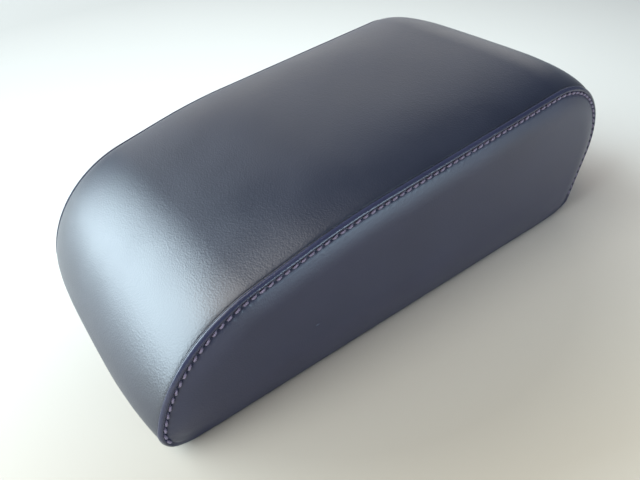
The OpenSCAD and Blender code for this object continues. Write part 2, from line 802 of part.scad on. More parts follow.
top_cover();
side_cover_left();
side_cover_right();
stitching_left();
stitching_right();
foam_pad();
side_pad_left();
side_pad_right();
base_shell();
cover_staples();
underside_liner();
liner_screws();
rubber_bumpers();
hinge_bracket_left();
hinge_bracket_right();
hinge_bush_left();
hinge_bush_right();
hinge_shaft();
console_bracket();
shaft_clips();
hinge_spring();
hinge_screws();
latch_housing();
latch_lever();
latch_pin();
latch_spring();
latch_screws();
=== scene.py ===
import math
import bmesh
import bpy
import numpy as np
from mathutils import Matrix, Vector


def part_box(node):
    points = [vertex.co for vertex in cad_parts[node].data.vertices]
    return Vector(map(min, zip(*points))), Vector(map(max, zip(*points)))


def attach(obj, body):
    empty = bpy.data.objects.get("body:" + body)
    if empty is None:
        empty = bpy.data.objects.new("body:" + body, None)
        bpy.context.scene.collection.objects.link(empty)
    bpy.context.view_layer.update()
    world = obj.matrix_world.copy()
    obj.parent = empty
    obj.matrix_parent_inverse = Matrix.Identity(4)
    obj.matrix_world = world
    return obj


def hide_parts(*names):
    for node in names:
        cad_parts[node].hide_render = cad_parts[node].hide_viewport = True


print("armrest: loading the frame")
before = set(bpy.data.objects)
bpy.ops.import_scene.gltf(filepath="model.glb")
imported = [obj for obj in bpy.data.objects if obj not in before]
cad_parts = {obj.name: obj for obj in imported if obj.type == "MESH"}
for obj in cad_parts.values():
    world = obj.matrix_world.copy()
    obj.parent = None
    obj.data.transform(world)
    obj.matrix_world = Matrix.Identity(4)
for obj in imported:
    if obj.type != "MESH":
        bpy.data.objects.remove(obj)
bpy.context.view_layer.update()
scene = bpy.context.scene
mm = 0.001

# Camera at the photograph's angle, worked out for an image of 640 x 480
cameraView = {
    "azimuth": 55.698,     # degrees round the object, 0 looks along +Y
    "elevation": 40.093,   # degrees above the horizon
    "roll": -3.218,        # degrees
    "focal": 542.867,      # pixels of a 640 pixel wide image
    "imageWidth": 640.0,
    "sensor": 36.0,        # millimetres
    "nearest": 0.01,       # metres
    "place": (0.235134, -0.169659, 0.242734),
}


# Matrix of an object from its three directions and its place
def frameMatrix(right, up, back, place):
    return Matrix([[right[i], up[i], back[i], place[i]] for i in range(3)] + [[0, 0, 0, 1]])


def makeCamera(view):
    az, el, roll = (math.radians(view[k]) for k in ("azimuth", "elevation", "roll"))
    back = np.array([math.sin(az) * math.cos(el), -math.cos(az) * math.cos(el), math.sin(el)])
    right = np.cross(-back, [0, 0, 1])
    right /= np.linalg.norm(right)
    up = np.cross(right, -back)
    turnedRight = right * math.cos(roll) + up * math.sin(roll)
    turnedUp = -right * math.sin(roll) + up * math.cos(roll)
    data = bpy.data.cameras.new("armrestCamera")
    data.sensor_width = view["sensor"]
    data.lens = view["focal"] / view["imageWidth"] * view["sensor"]
    data.clip_start = view["nearest"]
    camera = bpy.data.objects.new("armrestCamera", data)
    scene.collection.objects.link(camera)
    camera.matrix_world = frameMatrix(turnedRight, turnedUp, back, view["place"])
    scene.camera = camera


makeCamera(cameraView)

# Side outline of the armrest, in millimetres, the same corners and roundings as the solid's
outline = {
    "front": -160.9,       # lower front corner before rounding
    "rear": 151.4,         # lower rear corner before rounding
    "noseLean": 16.9,      # degrees from upright
    "noseHeight": 66.1,
    "noseSlope": 13.3,     # degrees, just behind the nose
    "bend": -45.7,         # where the top flattens
    "topSlope": 5.7,       # degrees
    "rearLean": 10.7,      # degrees from upright
    "rounds": (16.5, 79.0, 350.0, 50.0, 15.0),
    "leastRound": 0.5,
    "arcPoints": (44, 116, 64, 104, 36),
    "linePoints": (8, 8, 150, 40, 260),
}


def tanDeg(angle):
    return math.tan(math.radians(angle))


# Crossings of the five straight sides, from the lower front corner over the top
def outlineCorners(o):
    noseY = o["front"] + o["noseHeight"] * tanDeg(o["noseLean"])
    bendZ = o["noseHeight"] + (o["bend"] - noseY) * tanDeg(o["noseSlope"])
    lean, slope = tanDeg(o["rearLean"]), tanDeg(o["topSlope"])
    run = (o["rear"] - o["bend"] + bendZ * lean) / (1 - slope * lean)
    return np.array([[o["front"], 0], [noseY, o["noseHeight"]], [o["bend"], bendZ],
                     [o["bend"] + run, bendZ + run * slope], [o["rear"], 0]])


# Closed rounded outline moved inwards: the arc of each corner, then the straight side after it.
# Each arc is its corner's centre plus radius times a direction that turns evenly.
def outlineRing(o, inset):
    corners = outlineCorners(o)
    ahead = np.roll(corners, -1, axis=0) - corners
    ahead /= np.linalg.norm(ahead, axis=1)[:, None]
    points, normals = [], []
    arcs = []
    for i in range(5):
        before, after = ahead[i - 1], ahead[i]
        outBefore, outAfter = np.array([-before[1], before[0]]), np.array([-after[1], after[0]])
        sweep = math.acos(float(before @ after))
        middle = outBefore + outAfter
        middle /= np.linalg.norm(middle)
        centre = corners[i] - middle * max(o["rounds"][i], inset + o["leastRound"]) / math.cos(sweep / 2)
        radius = max(o["rounds"][i] - inset, o["leastRound"])
        first = math.atan2(outBefore[1], outBefore[0])
        turn = first - sweep * np.linspace(0, 1, o["arcPoints"][i])
        way = np.stack([np.cos(turn), np.sin(turn)], axis=1)
        arcs.append((centre + way * radius, way))
    for i in range(5):
        points.append(arcs[i][0])
        normals.append(arcs[i][1])
        t = (np.arange(1, o["linePoints"][i] + 1) / (o["linePoints"][i] + 1))[:, None]
        start, end = arcs[i][0][-1], arcs[(i + 1) % 5][0][0]
        points.append(start + (end - start) * t)
        normals.append(np.repeat(arcs[i][1][-1:], o["linePoints"][i], axis=0))
    return np.concatenate(points), np.concatenate(normals)


ring, ringNormals = outlineRing(outline, 0.0)
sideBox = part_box("side_cover_right")
midY = float(ring[:, 0].min()) - sideBox[0][1] / mm     # the frame's zero along the car


def smoothStep(t):
    s = np.clip(t, 0, 1)
    return s * s * (3 - 2 * s)


def smoothPiece(name, mesh):
    mesh.polygons.foreach_set("use_smooth", np.ones(len(mesh.polygons), dtype=bool))
    piece = bpy.data.objects.new(name, mesh)
    scene.collection.objects.link(piece)
    return piece


# Mesh from a grid of points in millimetres; wrapU closes it along its first parameter
def gridMesh(name, grid, wrapU=False, flip=False):
    rows, columns = grid.shape[:2]
    verts = grid.reshape(-1, 3) * mm
    verts = verts - np.array([0, midY * mm, 0])
    a = np.arange(rows if wrapU else rows - 1)[:, None]
    b = np.arange(columns - 1)[None, :]
    nextRow = (a + 1) % rows
    here, there = a * columns + b, nextRow * columns + b
    quads = np.stack([here, there, there + 1, here + 1], axis=-1).reshape(-1, 4)
    if flip:
        quads = quads[:, ::-1]
    mesh = bpy.data.meshes.new(name)
    mesh.vertices.add(len(verts))
    mesh.vertices.foreach_set("co", verts.astype(np.float32).ravel())
    mesh.loops.add(quads.size)
    mesh.loops.foreach_set("vertex_index", quads.astype(np.int32).ravel())
    mesh.polygons.add(len(quads))
    mesh.polygons.foreach_set("loop_start", np.arange(0, quads.size, 4, dtype=np.int32))
    mesh.update(calc_edges=True)
    mesh.validate()
    return smoothPiece(name, mesh)


def thicken(piece, thickness):
    wall = piece.modifiers.new("leatherThickness", "SOLIDIFY")
    wall.thickness = thickness * mm
    wall.offset = -1.0


print("armrest: top panel")
topPanel = {
    "half": 78.9,          # half width at the seams
    "crown": 7.8,          # rise of the middle over the seams
    "build": 34.0,         # height over which the crown builds up
    "noseShape": (2.8, 0.85),     # the crown's two powers on the nose, where it stays flatter to the seam
    "topShape": (3.8, 0.68),      # and on top
    "edgeRound": 0.6,      # rounding of the edge where it dives into the seam
    "tuck": 2.2,           # depth of the edge in the seam
    "flap": 13.0,          # leather turned under the rim
    "fingerLift": 10.0,    # rise of the front lower edge
    "fingerHalf": 20.0,    # half width of the recess at its full rise
    "fingerRun": 38.0,     # half width where the rise has run out
    "noseTop": 45.0,       # height where the nose's crown starts to change into the top's
    "noseFade": 50.0,      # over this height
    "wave": 0.16,
    "columns": 161,
    "flapRows": 14,
    "flapGap": 0.6,        # from the flap's last row to the rounding
    "edgeTurns": (0.35, 0.75, 1.15),      # radians of the edge's quarter round
    "edgeLevel": (12.0, 0.15),            # height of the full edge, and its least share below that
    "thickness": 1.5,
}
leatherWave = {
    "first": (0.043, 0.031, 0.6),         # per millimetre along and across, and phase
    "second": (0.071, -0.052, 2.1),
    "third": (0.127, 0.094, 4.0),
    "across": (0.083, 1.3),
    "shares": (0.7, 0.5),                 # of the second and the third beside the first
    "highest": 2.2,
}


# Soft unevenness of stretched leather: a few crossed long waves, in millimetres
def leatherWaves(y, x, size):
    w = leatherWave

    def ripple(name):
        along, across, phase = w[name]
        return np.sin(y * along + x * across + phase)
    wave = ripple("first") + w["shares"][0] * ripple("second")
    wave += w["shares"][1] * ripple("third") * np.sin(x * w["across"][0] + w["across"][1])
    return size * wave / w["highest"]


# Point (path, across) = outline + its normal times a crown that falls to the seams,
# raised over the finger recess
def topPanelGrid(p):
    under = sum(outline["linePoints"][4:])
    path, normal = ring[:-under], ringNormals[:-under]
    lead = np.linspace(p["flap"], p["flapGap"], p["flapRows"])[:, None]
    front = np.concatenate([path[0] + lead * [1, 0], path, path[-1] - lead[::-1] * [1, 0]])
    frontNormal = np.concatenate([np.repeat(normal[:1], p["flapRows"], 0), normal,
                                  np.repeat(normal[-1:], p["flapRows"], 0)])
    u = np.sin(np.linspace(-1, 1, p["columns"]) * math.pi / 2)
    x = p["half"] * u
    onTop = smoothStep((front[:, 1:] - p["noseTop"]) / p["noseFade"])
    first = p["noseShape"][0] + (p["topShape"][0] - p["noseShape"][0]) * onTop
    second = p["noseShape"][1] + (p["topShape"][1] - p["noseShape"][1]) * onTop
    crown = p["crown"] * np.power(1 - np.abs(u[None]) ** first, second)
    share = np.sin(np.clip(front[:, 1] / p["build"], 0, 1) * math.pi / 2)[:, None]
    swell = crown * share + leatherWaves(front[:, :1], x[None, :], p["wave"]) * share * (1 - u ** 6)[None, :]
    y = front[:, :1] + frontNormal[:, :1] * swell
    z = front[:, 1:] + frontNormal[:, 1:] * swell
    runOut = smoothStep((np.abs(x) - p["fingerHalf"]) / (p["fingerRun"] - p["fingerHalf"]))
    lift = p["fingerLift"] * (1 - runOut)
    z = z + np.where(y < 0, lift[None, :] * np.clip(1 - z / (3 * p["fingerLift"]), 0, 1), 0)
    grid = np.stack([np.broadcast_to(x[None, :], y.shape), y, z], axis=-1)
    # the edge turns down into the seam on a quarter round, then runs straight in
    turn = np.array([*p["edgeTurns"], math.pi / 2, math.pi / 2])
    outward = p["edgeRound"] * np.sin(turn)
    inward = p["edgeRound"] * (1 - np.cos(turn))
    inward[-1] = p["tuck"]
    fullEdge, leastEdge = p["edgeLevel"]
    level = np.clip(front[:, 1] / fullEdge, leastEdge, 1)[:, None]
    downY, downZ = -frontNormal[:, :1] * inward * level, -frontNormal[:, 1:] * inward * level
    right = np.stack([grid[:, -1:, 0] + outward, grid[:, -1:, 1] + downY, grid[:, -1:, 2] + downZ], axis=-1)
    left = np.stack([grid[:, :1, 0] - outward, grid[:, :1, 1] + downY, grid[:, :1, 2] + downZ], axis=-1)
    return np.concatenate([left[:, ::-1], grid, right], axis=1)


topLeather = gridMesh("topLeather", topPanelGrid(topPanel), flip=True)
thicken(topLeather, topPanel["thickness"])
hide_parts("top_cover")
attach(topLeather, "lid")

print("armrest: side panels")
sidePanel = {
    "half": 80.0,          # half width at the seams
    "stitchDrop": 3.2,     # depth of the stitch row below the seam
    "noseDrop": 2.8,       # the same low on the nose, where the strip narrows
    "narrowFrom": (18.0, 52.0),   # heights between which it narrows
    "pitch": 4.6,          # one stitch to the next
    "rowEnds": (12.5, 12.5),      # heights where the row starts in front and ends behind
    "shoulder": 1.4,       # how far the padded strip stands beyond the seam
    "bulge": 3.6,          # further swell of the panel
    "roll": 14.0,          # depth over which it swells below the stitches
    "lowRoll": 30.0,       # height over which it swells above the lower edge
    "flap": 14.0,          # leather turned under the rim
    "cornerHeight": 9.0,   # height over which the flap along the lower edge turns into the seam strip
    "dimple": 0.4,         # depth of the leather where a stitch dives in, and half width of that dent
    "dimpleHalf": 0.8,
    "puff": 0.05,          # swell between two stitches, its place below the row, and its half width
    "puffBelow": 1.6,
    "puffHalf": 1.5,
    "rowFade": 4.0,        # run of the dimples beyond the row's ends
    "stripFade": 6.0,      # depth over which the strip's rise gives way to the panel's
    "tautEnd": 2.5,        # depth where the taut, smoother strip ends
    "tautFade": 0.9,
    "middleLine": (-78.0, 96.0),  # the line that the inner rows close on: its ends
    "middleStep": 2.4,     # its places are shared, so that both halves close
    "middleHeight": 36.0,  # its height in front
    "middleSlope": 0.10,
    "wave": 0.12,
    "waveStretch": 1.7,
    "waveFade": 1.5,
    "rows": 54,
    "innerRows": 26,
    "thickness": 1.5,
}
# Section across the seam, in millimetres: depth below the seam, and how proud of it
seamSection = {
    "depth": [2.1, 1.2, 0.5, 0.0, -0.35, -0.35, 0.0, 0.5, 1.1, 1.7,
              2.2, 2.7, 3.2, 3.6, 4.1, 5.2, 7.2, 10.0, 13.0],
    "proud": [-0.75, -0.72, -0.65, -0.45, -0.1, 0.3, 0.85, 1.4, 1.8, 1.85,
              1.6, 1.2, 0.9, 0.95, 1.3, 1.45, 1.4, 1.4, 1.4],
    "spread": 0.7,         # below 1, the rows gather where the section bends
    "samples": 900,
    "ease": 51,            # samples in the running mean
}
# Section across the lower edge: share of the rows, depth (the last row's is the seam section's),
# and how far it stands out
lowerSection = {
    "share": [0, 0.28, 0.36, 0.44, 1],
    "depth": [0.0, 0.0, 0.25, 1.0],
    "out": [-sidePanel["flap"], -1.2, -0.35, 0.0, 0.0],
}


# The section at evenly spread rows, its corners eased by a short running mean
def sectionRows(count):
    depth, proud = np.array(seamSection["depth"]), np.array(seamSection["proud"])
    steps = np.hypot(np.diff(depth), np.diff(proud)) ** seamSection["spread"]
    run = np.concatenate([[0], np.cumsum(steps)])
    fine = np.linspace(0, run[-1], seamSection["samples"])
    kernel = np.hanning(seamSection["ease"])
    kernel /= kernel.sum()
    ends = seamSection["ease"] // 2

    def eased(values):
        line = np.interp(fine, run, values)
        line = np.concatenate([np.full(ends, line[0]), line, np.full(ends, line[-1])])
        return np.interp(np.linspace(0, run[-1], count), fine, np.convolve(line, kernel, "valid"))
    return eased(depth), eased(proud)


def softRise(t):
    return 1 - (1 - np.clip(t, 0, 1)) ** 2


# Swell of the panel: rises from the stitch row inwards, and from the lower edge upwards
def panelSwell(p, depth, z):
    return p["bulge"] * softRise((depth - p["stitchDrop"]) / p["roll"]) * softRise(z / p["lowRoll"])


# Distance run along a closed line of points
def ringLength(points):
    step = np.linalg.norm(np.roll(points, -1, axis=0) - points, axis=1)
    return np.concatenate([[0], np.cumsum(step)[:-1]])


# Depth of the stitch row at each place of the outline, less low on the nose
narrowLow, narrowHigh = sidePanel["narrowFrom"]
onNose = ring[:, 0] < outline["bend"]
widening = smoothStep((ring[:, 1] - narrowLow) / (narrowHigh - narrowLow))
noseDepth = sidePanel["noseDrop"] + (sidePanel["stitchDrop"] - sidePanel["noseDrop"]) * widening
rowDepth = np.where(onNose, noseDepth, sidePanel["stitchDrop"])
stitchRing = ring - ringNormals * rowDepth[:, None]
stitchLength = ringLength(stitchRing)
bottomStart = len(ring) - outline["linePoints"][4]
rising = np.arange(len(ring)) < bottomStart
frontLow = rising & onNose & (stitchRing[:, 1] < sidePanel["rowEnds"][0])
rearLow = rising & ~onNose & (stitchRing[:, 1] < sidePanel["rowEnds"][1])
rowStart = stitchLength[frontLow].max()
rowEnd = stitchLength[rearLow].min()
stitchCount = int((rowEnd - rowStart) / sidePanel["pitch"])
stitchPlaces = rowStart + np.arange(stitchCount + 1) * sidePanel["pitch"]


# Distance of points from the open seam line, worked out row by row
def seamDistance(points):
    seam = ring[:bottomStart]
    return np.stack([np.sqrt(((row[:, None] - seam[None]) ** 2).sum(-1).min(1)) for row in points])


# Swell of the panel with the strip's rise, away from the seam
def restingSwell(p, points):
    height = points[..., 1]
    return panelSwell(p, seamDistance(points), height) + p["shoulder"] * softRise(height / p["lowRoll"])


# Point (row, along) = outline moved inwards by the row's depth, and pushed out by strip, swell and
# stitch dimples; along the lower edge the rows are the turned flap instead, and the last rows
# close on a middle line
def sidePanelGrid(p, side):
    depth, proud = sectionRows(p["rows"])
    level = np.clip(ring[:, 1] / p["cornerHeight"], 0, 1)
    under = (1 - smoothStep(level))[None, :]       # 1 along the lower edge, 0 at the seam
    deep = np.where(depth[:, None] < p["stitchDrop"], depth[:, None] * rowDepth[None] / p["stitchDrop"],
                    depth[:, None] - p["stitchDrop"] + rowDepth[None])
    flat = ring[None] - ringNormals[None] * deep[..., None]
    phase = 2 * math.pi * (stitchLength - rowStart) / p["pitch"]
    inRow = (np.clip((stitchLength - rowStart + p["rowFade"]) / p["rowFade"], 0, 1)
             * np.clip((rowEnd - stitchLength + p["rowFade"]) / p["rowFade"], 0, 1))
    fromRow = depth - p["stitchDrop"]
    near = np.exp(-(fromRow / p["dimpleHalf"]) ** 2)[:, None]
    below = np.exp(-((fromRow - p["puffBelow"]) / p["puffHalf"]) ** 2)[:, None]
    dimple = (-p["dimple"] * near * np.clip(-np.cos(phase), 0, 1)[None] ** 4
              + p["puff"] * below * np.cos(phase)[None])
    fade = smoothStep(fromRow / p["stripFade"])[:, None] * (1 - softRise(flat[..., 1] / p["lowRoll"]))
    swell = panelSwell(p, depth[:, None] + 0 * level, flat[..., 1])
    out = proud[:, None] * (1 - fade) + dimple * inRow[None] + swell
    share = np.linspace(0, 1, p["rows"])
    underDepth = np.interp(share, lowerSection["share"], [*lowerSection["depth"], depth[-1]])[:, None]
    underOut = np.interp(share, lowerSection["share"], lowerSection["out"])[:, None]
    underFlat = ring[None] - ringNormals[None] * (underDepth + 0 * level)[..., None]
    flat = flat * (1 - under[..., None]) + underFlat * under[..., None]
    out = out * (1 - under) + (underOut + restingSwell(p, underFlat)) * under
    last = flat[-1]
    middleY = np.round(np.clip(last[:, 0], *p["middleLine"]) / p["middleStep"]) * p["middleStep"]
    middleZ = p["middleHeight"] + (middleY - p["middleLine"][0]) * p["middleSlope"]
    middle = np.stack([middleY, middleZ], axis=1)
    t = np.linspace(0, 1, p["innerRows"] + 1)[1:, None, None]
    inner = last[None] * (1 - t) + middle[None] * t
    innerOut = restingSwell(p, inner)
    wave = leatherWaves(inner[..., 0], inner[..., 1] * p["waveStretch"], p["wave"])
    wave = wave * smoothStep(t[..., 0] * p["waveFade"])
    places = np.concatenate([flat, inner])
    reach = np.concatenate([out, innerOut + wave])
    grid = np.concatenate([(side * (p["half"] + reach))[..., None], places], axis=2)
    return grid.transpose(1, 0, 2)


def mergeDoubles(piece, distance):
    work = bmesh.new()
    work.from_mesh(piece.data)
    bmesh.ops.remove_doubles(work, verts=work.verts, dist=distance)
    work.to_mesh(piece.data)
    work.free()


# The attribute seamStrip is 1 on the taut strip beside the seam, where the leather is smoother
def makeSidePanel(name, side, cadNode):
    p = sidePanel
    panel = gridMesh(name, sidePanelGrid(p, side), wrapU=True, flip=side > 0)
    outer = 1 - smoothStep((sectionRows(p["rows"])[0] - p["tautEnd"]) / p["tautFade"])
    strip = np.clip(ring[:, 1:] / p["cornerHeight"], 0, 1) * np.append(outer, np.zeros(p["innerRows"]))
    taut = panel.data.attributes.new("seamStrip", "FLOAT", "POINT")
    taut.data.foreach_set("value", strip.astype(np.float32).ravel())
    mergeDoubles(panel, 0.05 * mm)
    thicken(panel, p["thickness"])
    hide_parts(cadNode)
    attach(panel, "lid")
    return panel


sideLeatherRight = makeSidePanel("sideLeatherRight", 1, "side_cover_right")
sideLeatherLeft = makeSidePanel("sideLeatherLeft", -1, "side_cover_left")

print("armrest: stitches")
stitch = {
    "length": 3.5,
    "radius": 0.74,
    "slant": 14.0,         # degrees off the row
    "twist": 1.3,          # turns of the ply in one stitch
    "ply": 0.16,           # depth of the ply's groove, as a share of the radius
    "sink": 0.8,           # how deep the ends dive into the leather
    "lift": 0.36,          # how high the middle lies over the leather
    "seat": 1.3,           # where the leather lies beyond the seam
    "reach": 0.6,          # run to either side over which the row's direction is taken
    "leanSpread": 0.06,    # radians
    "lengthSpread": 0.03,  # share of the length
    "bowPower": 2.8,
    "endShare": 0.7,       # radius of the ends beside the middle's
    "rings": 9,
    "sides": 8,
}


# Stitch tubes: ring centres run along a slanted bow over the leather, and the radius carries a two-ply twist
def stitchMesh(name, side):
    p = stitch

    def along(places):
        return np.stack([np.full(len(places), side * (sidePanel["half"] + p["seat"])),
                         np.interp(places, stitchLength, stitchRing[:, 0]),
                         np.interp(places, stitchLength, stitchRing[:, 1])], axis=1)
    centre = along(stitchPlaces)
    tangent = along(stitchPlaces + p["reach"]) - along(stitchPlaces - p["reach"])
    tangent /= np.linalg.norm(tangent, axis=1)[:, None]
    outward = np.array([[1.0 * side, 0, 0]])
    up = np.cross(tangent, outward) * side
    rng = np.random.default_rng(7)
    lean = math.radians(p["slant"]) + rng.normal(0, p["leanSpread"], len(centre))[:, None]
    run = tangent * np.cos(lean) - up * np.sin(lean)
    cross = np.cross(run, outward)
    t = np.linspace(-1, 1, p["rings"])
    arch = np.sqrt(np.clip(1 - np.abs(t) ** p["bowPower"] * 0.999, 0, 1))
    bow = arch * (p["sink"] + p["lift"]) - p["sink"]
    length = p["length"] * (1 + rng.normal(0, p["lengthSpread"], len(centre)))
    centres = centre[:, None] + run[:, None] * (length[:, None] * t[None] / 2)[..., None]
    centres += outward[None] * bow[None, :, None]
    angle = np.linspace(0, 2 * math.pi, p["sides"], endpoint=False)
    thick = p["radius"] * (p["endShare"] + (1 - p["endShare"]) * np.sqrt(np.clip(1 - t ** 4, 0, 1)))
    ply = 1 - p["ply"] * (0.5 + 0.5 * np.cos(2 * (angle[None, :] - math.pi * p["twist"] * t[:, None])))
    radius = thick[:, None] * ply
    offset = (np.cos(angle)[None, None, :, None] * cross[:, None, None]
              + np.sin(angle)[None, None, :, None] * outward[:, None, None])
    verts = (centres[:, :, None] + offset * radius[None, :, :, None]).reshape(-1, 3)
    count, rings, sides = len(centre), p["rings"], p["sides"]
    base = (np.arange(count) * rings * sides)[:, None, None]
    i = np.arange(rings - 1)[None, :, None] * sides
    j = np.arange(sides)[None, None, :]
    k = (j + 1) % sides
    quads = np.stack([base + i + j, base + i + k, base + i + sides + k, base + i + sides + j], axis=-1)
    start = base[:, 0] + np.arange(sides)[None, ::-1]
    end = base[:, 0] + (rings - 1) * sides + np.arange(sides)[None, :]
    faces = quads.reshape(-1, 4).tolist() + start.tolist() + end.tolist()
    mesh = bpy.data.meshes.new(name)
    mesh.from_pydata(((verts - [0, midY, 0]) * mm).tolist(), [], faces)
    work = bmesh.new()
    work.from_mesh(mesh)
    bmesh.ops.recalc_face_normals(work, faces=work.faces)
    work.to_mesh(mesh)
    work.free()
    return smoothPiece(name, mesh)


for label, side in (("Right", 1), ("Left", -1)):
    thread = stitchMesh("seamThread" + label, side)
    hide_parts("stitching_" + label.lower())
    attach(thread, "lid")

print("armrest: materials")


def newGroup(name, inputs, outputs):
    group = bpy.data.node_groups.new(name, "ShaderNodeTree")
    for label, kind, value in inputs:
        socket = group.interface.new_socket(label, in_out="INPUT", socket_type=kind)
        socket.default_value = value
    for label, kind in outputs:
        group.interface.new_socket(label, in_out="OUTPUT", socket_type=kind)
    return group, group.nodes.new("NodeGroupInput"), group.nodes.new("NodeGroupOutput")


def noise(nodes, links, vector, scale, detail):
    node = nodes.new("ShaderNodeTexNoise")
    node.inputs["Scale"].default_value = scale
    node.inputs["Detail"].default_value = detail
    links.new(vector, node.inputs["Vector"])
    return node


# Leather grain: a height of small pebbled cells with finer noise, a mask of broad wear
# and a height of creases
def leatherGrainGroup():
    group, source, result = newGroup(
        "leatherGrain",
        [("Vector", "NodeSocketVector", (0, 0, 0)), ("Cell Scale", "NodeSocketFloat", 1150.0)],
        [("Height", "NodeSocketFloat"), ("Mottle", "NodeSocketFloat"), ("Creases", "NodeSocketFloat")])
    nodes, links = group.nodes, group.links
    cells = nodes.new("ShaderNodeTexVoronoi")
    cells.feature = "SMOOTH_F1"
    cells.inputs["Smoothness"].default_value = 0.35
    links.new(source.outputs["Vector"], cells.inputs["Vector"])
    links.new(source.outputs["Cell Scale"], cells.inputs["Scale"])
    fine = noise(nodes, links, source.outputs["Vector"], 2600.0, 3.0)
    mix = nodes.new("ShaderNodeMath")
    mix.operation = "MULTIPLY_ADD"
    mix.inputs[1].default_value = 0.45
    links.new(fine.outputs["Fac"], mix.inputs[0])
    links.new(cells.outputs["Distance"], mix.inputs[2])
    links.new(mix.outputs[0], result.inputs["Height"])
    mottle = noise(nodes, links, source.outputs["Vector"], 22.0, 5.0)
    mottle.inputs["Roughness"].default_value = 0.6
    links.new(mottle.outputs["Fac"], result.inputs["Mottle"])
    creases = noise(nodes, links, source.outputs["Vector"], 140.0, 6.0)
    creases.inputs["Distortion"].default_value = 0.8
    links.new(creases.outputs["Fac"], result.inputs["Creases"])
    return group


# Fine spark-eroded texture of a moulding: a height and a faint scuff mask
def mouldTextureGroup():
    group, source, result = newGroup(
        "mouldTexture",
        [("Vector", "NodeSocketVector", (0, 0, 0)), ("Scale", "NodeSocketFloat", 1400.0)],
        [("Height", "NodeSocketFloat"), ("Scuff", "NodeSocketFloat")])
    nodes, links = group.nodes, group.links
    grain = noise(nodes, links, source.outputs["Vector"], 1400.0, 2.0)
    links.new(source.outputs["Scale"], grain.inputs["Scale"])
    links.new(grain.outputs["Fac"], result.inputs["Height"])
    scuff = noise(nodes, links, source.outputs["Vector"], 60.0, 7.0)
    links.new(scuff.outputs["Fac"], result.inputs["Scuff"])
    return group


grainGroup = leatherGrainGroup()
mouldGroup = mouldTextureGroup()


def newMaterial(name):
    material = bpy.data.materials.new(name)
    material.use_nodes = True
    nodes = material.node_tree.nodes
    shader = nodes["Principled BSDF"]
    coords = nodes.new("ShaderNodeTexCoord")
    return material, nodes, material.node_tree.links, shader, coords


def ramp(nodes, links, value, low, high, fromA=0.3, fromB=0.7):
    node = nodes.new("ShaderNodeMapRange")
    node.inputs["From Min"].default_value = fromA
    node.inputs["From Max"].default_value = fromB
    node.inputs["To Min"].default_value = low
    node.inputs["To Max"].default_value = high
    links.new(value, node.inputs["Value"])
    return node.outputs["Result"]


def mixColour(nodes, links, fac, low, high):
    node = nodes.new("ShaderNodeMix")
    node.data_type = "RGBA"
    node.inputs[6].default_value = (*low, 1)
    node.inputs[7].default_value = (*high, 1)
    links.new(fac, node.inputs[0])
    return node.outputs[2]


# Base colour between a finish's dark and light, by a mask
def tint(nodes, links, shader, mask, p, fromA=0.3, fromB=0.7):
    links.new(mixColour(nodes, links, ramp(nodes, links, mask, 0, 1, fromA, fromB), p["dark"], p["light"]),
              shader.inputs["Base Color"])


def bump(nodes, links, height, strength, distance):
    node = nodes.new("ShaderNodeBump")
    node.inputs["Strength"].default_value = strength
    node.inputs["Distance"].default_value = distance
    links.new(height, node.inputs["Height"])
    return node


def leatherMaterial(name, p):
    material, nodes, links, shader, coords = newMaterial(name)
    grain = nodes.new("ShaderNodeGroup")
    grain.node_tree = grainGroup
    grain.inputs["Cell Scale"].default_value = p["cells"]
    links.new(coords.outputs["Object"], grain.inputs["Vector"])
    tint(nodes, links, shader, grain.outputs["Mottle"], p)
    strip = nodes.new("ShaderNodeAttribute")
    strip.attribute_name = "seamStrip"
    polish = nodes.new("ShaderNodeMix")
    links.new(strip.outputs["Fac"], polish.inputs[0])
    links.new(ramp(nodes, links, grain.outputs["Mottle"], *p["rough"]), polish.inputs[2])
    polish.inputs[3].default_value = p["stripRough"]
    links.new(polish.outputs[0], shader.inputs["Roughness"])
    coarse = bump(nodes, links, grain.outputs["Creases"], p["creaseStrength"], 0.0006)
    fine = bump(nodes, links, grain.outputs["Height"], p["grainStrength"], 0.00012)
    links.new(coarse.outputs["Normal"], fine.inputs["Normal"])
    links.new(fine.outputs["Normal"], shader.inputs["Normal"])
    shader.inputs["IOR"].default_value = p["ior"]
    shader.inputs["Sheen Weight"].default_value = p["sheen"]
    shader.inputs["Sheen Roughness"].default_value = 0.4
    shader.inputs["Sheen Tint"].default_value = (0.75, 0.82, 1.0, 1)
    return material


darkLeather = leatherMaterial("darkLeather", {
    "dark": (0.009, 0.011, 0.021), "light": (0.013, 0.015, 0.027), "rough": (0.35, 0.41), "stripRough": 0.3,
    "cells": 1100.0, "grainStrength": 0.55, "creaseStrength": 0.07, "ior": 1.75, "sheen": 0.03})
sideLeather = leatherMaterial("sideLeather", {
    "dark": (0.021, 0.0225, 0.046), "light": (0.029, 0.030, 0.058), "rough": (0.36, 0.42),
    "stripRough": 0.24, "cells": 1100.0, "grainStrength": 0.50, "creaseStrength": 0.06, "ior": 1.5,
    "sheen": 0.03})


# Thread: fine fibres in two tones of mauve
def threadMaterial(p):
    material, nodes, links, shader, coords = newMaterial("seamThread")
    fibre = noise(nodes, links, coords.outputs["Object"], 1800.0, 3.0)
    tint(nodes, links, shader, fibre.outputs["Fac"], p)
    ridges = bump(nodes, links, fibre.outputs["Fac"], 0.5, 0.0001)
    links.new(ridges.outputs["Normal"], shader.inputs["Normal"])
    shader.inputs["Roughness"].default_value = 0.55
    shader.inputs["Sheen Weight"].default_value = 0.25
    shader.inputs["Sheen Roughness"].default_value = 0.5
    return material


threadFinish = threadMaterial({"dark": (0.10, 0.072, 0.115), "light": (0.21, 0.17, 0.25)})


